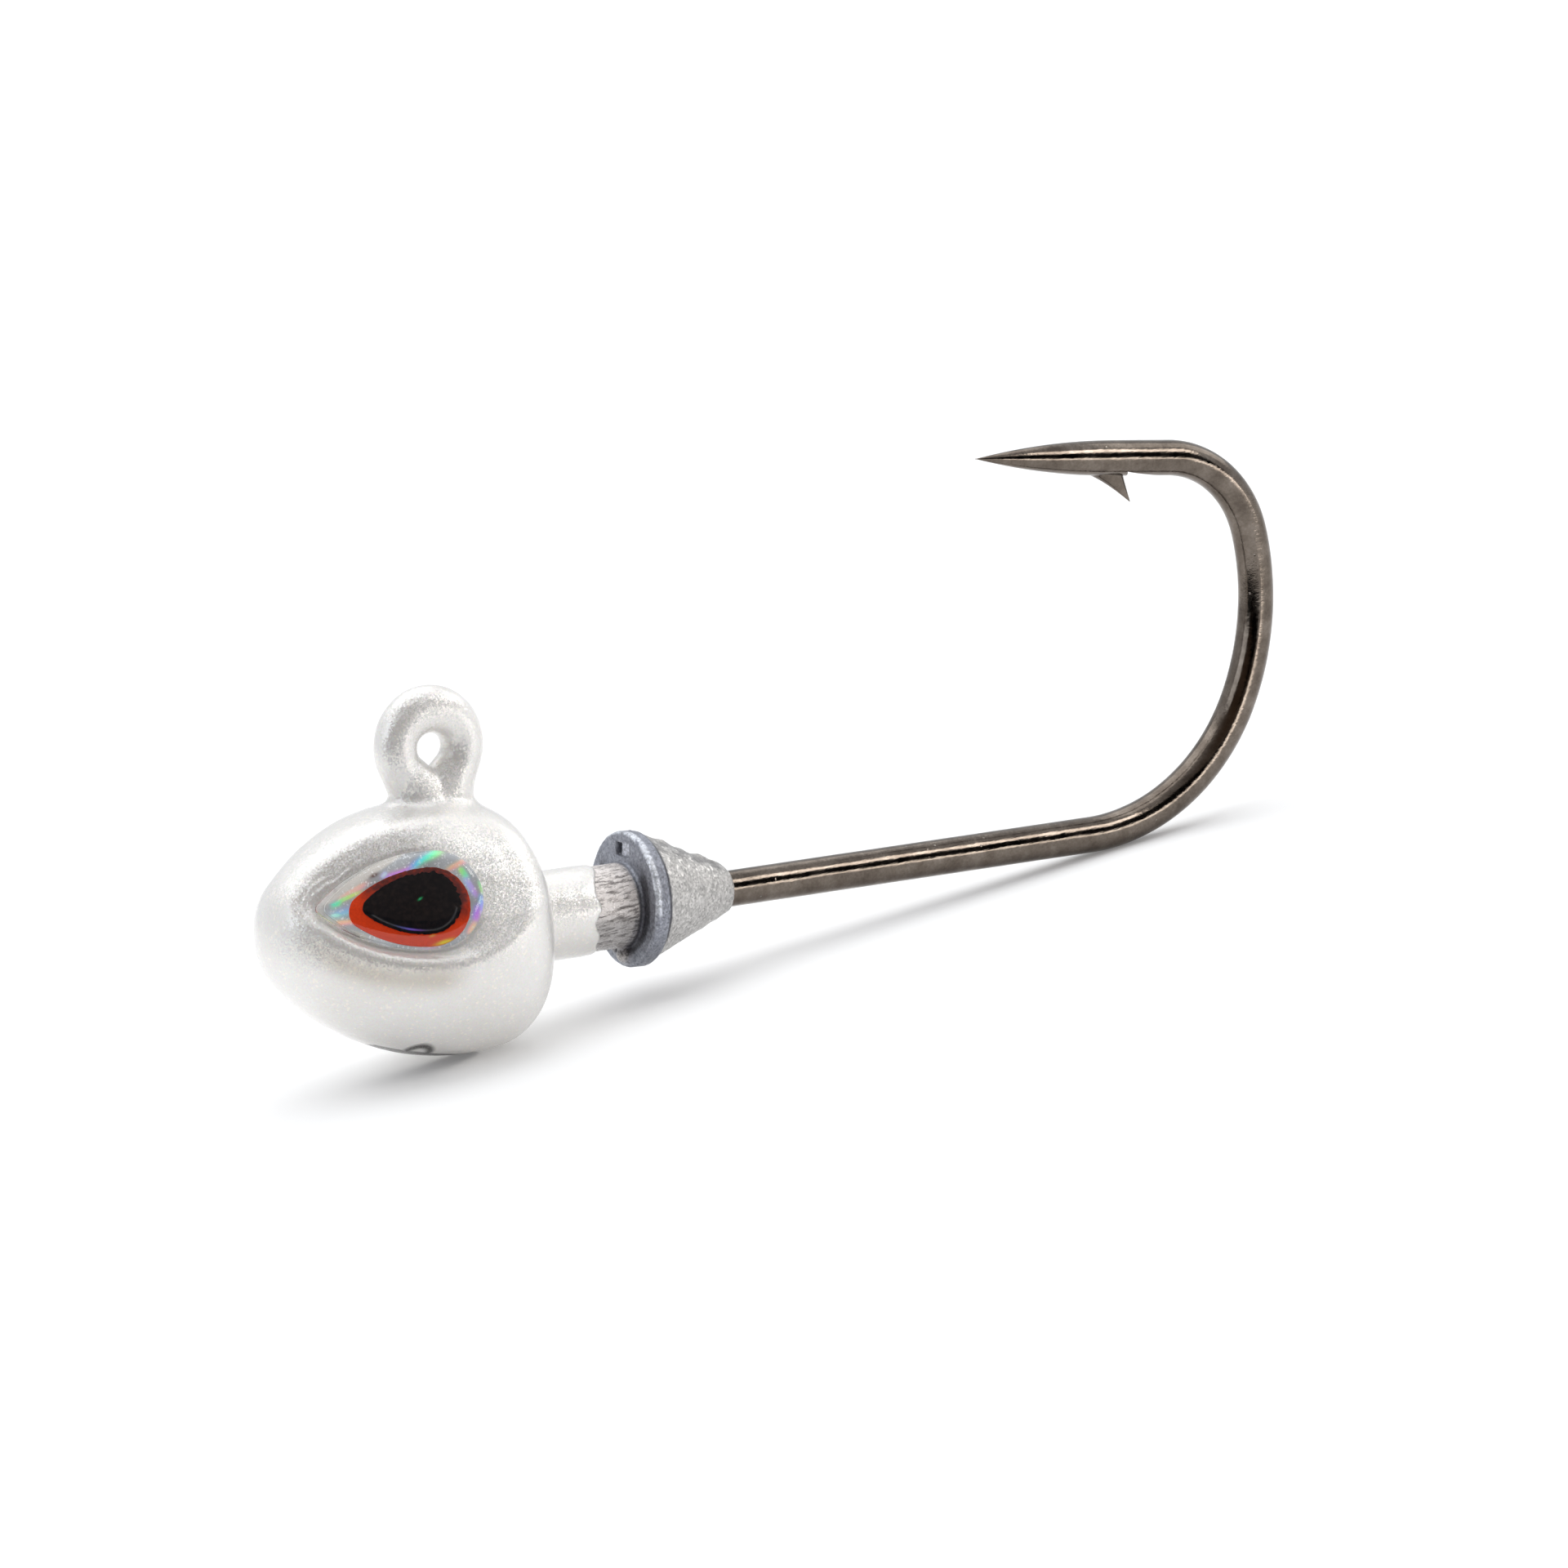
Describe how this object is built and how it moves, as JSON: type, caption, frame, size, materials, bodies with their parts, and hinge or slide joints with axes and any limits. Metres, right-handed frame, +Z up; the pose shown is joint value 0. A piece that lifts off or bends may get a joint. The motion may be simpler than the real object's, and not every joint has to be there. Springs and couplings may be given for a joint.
{
  "type": "jig head",
  "caption": "Ball-nosed fishing jig head: a lead casting with domed eyes and a cone bait keeper, poured round a barbed hook with an upright line tie.",
  "frame": {"origin": "on the surface that the jig stands on, under the middle of its overall box; the head's belly and the hook's bend touch that surface", "axes": "+X from the head to the hook's bend, level; +Y across, with the hook in the plane Y = 0; +Z up, the way the hook's point and the line tie face. The shank falls 7.81 degrees towards the bend."},
  "size_m": [0.0378, 0.0076, 0.0136],
  "materials": {
    "hook_wire": "black nickel plate, bright, fine pits",
    "cast_lead": "bare cast lead, dull, with brighter rubbed places",
    "pearl_paint": "pearl white with fine sparkle under a gloss coat",
    "eye_adhesive": "matt",
    "eye_foil": "rainbow holographic foil",
    "eye_iris": "orange-red print",
    "eye_pupil": "black print",
    "eye_dome": "clear cast resin"
  },
  "bodies": {
    "root": {"hook": "hook_wire", "lead_body": "cast_lead", "paint_coat": "pearl_paint", "left_eye_adhesive": "eye_adhesive", "left_eye_foil": "eye_foil", "left_eye_iris": "eye_iris", "left_eye_pupil": "eye_pupil", "left_eye_dome": "eye_dome", "right_eye_adhesive": "eye_adhesive", "right_eye_foil": "eye_foil", "right_eye_iris": "eye_iris", "right_eye_pupil": "eye_pupil", "right_eye_dome": "eye_dome"}
  },
  "joints": []
}
